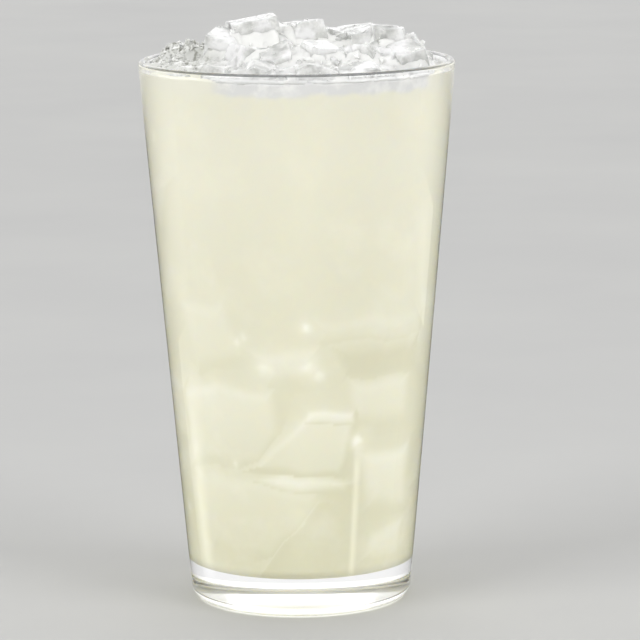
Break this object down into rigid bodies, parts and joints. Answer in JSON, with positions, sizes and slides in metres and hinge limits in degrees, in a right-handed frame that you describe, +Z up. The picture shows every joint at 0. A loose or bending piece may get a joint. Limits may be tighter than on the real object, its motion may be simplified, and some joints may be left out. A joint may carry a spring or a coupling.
{
  "type": "glass of iced lemonade",
  "caption": "Tapered clear tumbler with a thick base, filled with cloudy pale lemonade and heaped over the rim with broken ice.",
  "frame": {"origin": "centre of the foot, on the surface the glass stands on", "axes": "+Z up along the glass's axis, -Y towards the side shown in the picture, +X to its right"},
  "size_m": [0.088, 0.088, 0.1645],
  "materials": {
    "clear_glass": "smooth clear soda-lime glass, polished",
    "lemonade": "cloudy pale cream-yellow drink, wet",
    "crushed_ice": "white crushed ice, wet and granular",
    "ice": "frosted translucent broken ice"
  },
  "bodies": {
    "root": {"glass": "clear_glass", "lemonade": "lemonade", "crushed_ice": "crushed_ice", "ice_01": "ice", "ice_02": "ice", "ice_03": "ice", "ice_04": "ice", "ice_05": "ice", "ice_06": "ice", "ice_07": "ice", "ice_08": "ice", "ice_09": "ice", "ice_10": "ice", "ice_11": "ice", "ice_12": "ice", "ice_13": "ice", "ice_14": "ice", "ice_15": "ice", "ice_16": "ice", "ice_17": "ice", "ice_18": "ice", "ice_19": "ice"}
  },
  "joints": []
}
